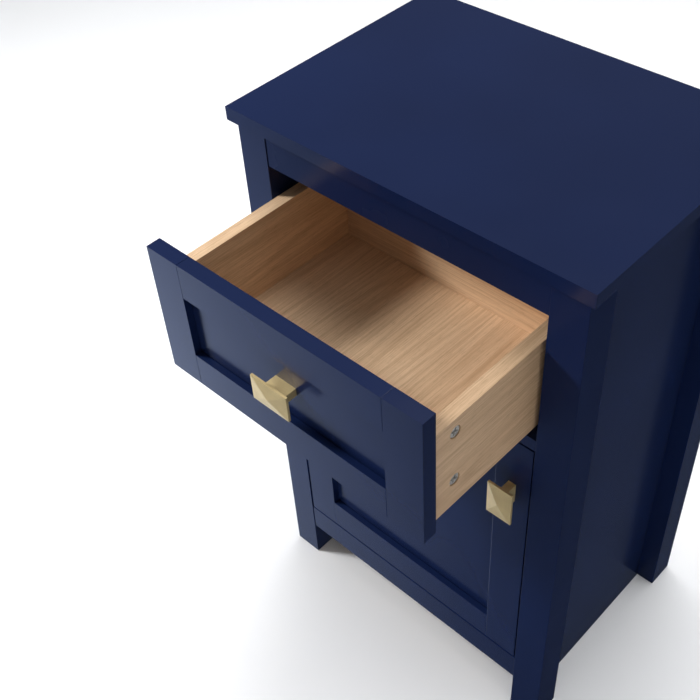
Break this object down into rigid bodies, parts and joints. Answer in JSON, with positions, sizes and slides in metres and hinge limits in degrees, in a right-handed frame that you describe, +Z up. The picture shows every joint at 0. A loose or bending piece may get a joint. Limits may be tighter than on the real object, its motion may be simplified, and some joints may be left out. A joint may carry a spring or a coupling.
{
  "type": "bathroom vanity cabinet",
  "caption": "Navy painted bathroom vanity cabinet with a framed inset drawer on concealed slides over a framed inset door, square posts, a flat top and square pyramid-faced knobs.",
  "frame": {"origin": "on the floor, at the middle of the box around the whole object with its drawer drawn out 189 mm", "axes": "+X to the right of a person facing the front, +Y to the back, +Z up"},
  "size_m": [0.518, 0.568, 0.85],
  "materials": {
    "navy_paint": "satin painted hardwood and board",
    "oak": "clear-coated open-grain oak",
    "plywood": "plain plywood",
    "steel": "zinc-plated steel",
    "champagne_brass": "brushed champagne brass",
    "clip_plastic": "moulded plastic"
  },
  "bodies": {
    "cabinet": {"top_panel": "navy_paint", "post_front_left": "navy_paint", "post_front_right": "navy_paint", "post_rear_left": "navy_paint", "post_rear_right": "navy_paint", "side_panel_left": "navy_paint", "side_panel_right": "navy_paint", "back_panel": "plywood", "apron_rail": "navy_paint", "middle_rail": "navy_paint", "bottom_rail": "navy_paint", "rear_top_rail": "plywood", "rear_bottom_rail": "plywood", "bottom_panel": "plywood", "front_stretcher": "plywood", "rear_stretcher": "plywood", "top_screws": "steel", "shelf": "plywood", "shelf_pins": "steel", "slide_rail_left": "steel", "slide_rail_right": "steel", "slide_screws": "steel", "hinge_plates": "steel", "hinge_plate_screws": "steel", "hinge_arms": "steel"},
    "drawer": {"slide_runner_left": "steel", "slide_runner_right": "steel", "drawer_stile_left": "navy_paint", "drawer_stile_right": "navy_paint", "drawer_rail_top": "navy_paint", "drawer_rail_bottom": "navy_paint", "drawer_front_panel": "navy_paint", "drawer_side_left": "oak", "drawer_side_right": "oak", "drawer_back": "oak", "drawer_bottom": "oak", "cam_locks": "steel", "cam_bolts": "steel", "drawer_clips": "clip_plastic", "drawer_knob": "champagne_brass", "drawer_knob_screw": "steel"},
    "slide_middles": {"slide_middle_left": "steel", "slide_middle_right": "steel"},
    "door": {"door_stile_left": "navy_paint", "door_stile_right": "navy_paint", "door_rail_top": "navy_paint", "door_rail_bottom": "navy_paint", "door_panel": "navy_paint", "door_knob": "champagne_brass", "door_knob_screw": "steel", "hinge_cups": "steel", "hinge_cup_screws": "steel"},
    "hinge_link_inner": {"hinge_links_inner": "steel"},
    "hinge_link_outer": {"hinge_links_outer": "steel"}
  },
  "joints": [
    {"name": "drawer_slide", "type": "slide", "parent": "cabinet", "child": "drawer", "axis": [0, -1, 0], "range_m": [-0.189, 0.08]},
    {"name": "slide_middle_slide", "type": "slide", "parent": "cabinet", "child": "slide_middles", "axis": [0, -1, 0], "range_m": [-0.0945, 0.04]},
    {"name": "door_hinge", "type": "hinge", "parent": "cabinet", "child": "door", "pos_m": [-0.2025, -0.076, 0.3485], "axis": [0, 0, -1], "range_deg": [0, 92]},
    {"name": "hinge_link_inner_turn", "type": "hinge", "parent": "cabinet", "child": "hinge_link_inner", "pos_m": [-0.2025, -0.076, 0.3485], "axis": [0, 0, -1], "range_deg": [0, 31]},
    {"name": "hinge_link_outer_turn", "type": "hinge", "parent": "cabinet", "child": "hinge_link_outer", "pos_m": [-0.2025, -0.076, 0.3485], "axis": [0, 0, -1], "range_deg": [0, 62]}
  ],
  "couplings": [
    {"joint": "slide_middle_slide", "follows": "drawer_slide", "ratio": 0.5},
    {"joint": "hinge_link_inner_turn", "follows": "door_hinge", "ratio": 0.3333},
    {"joint": "hinge_link_outer_turn", "follows": "door_hinge", "ratio": 0.6667}
  ]
}
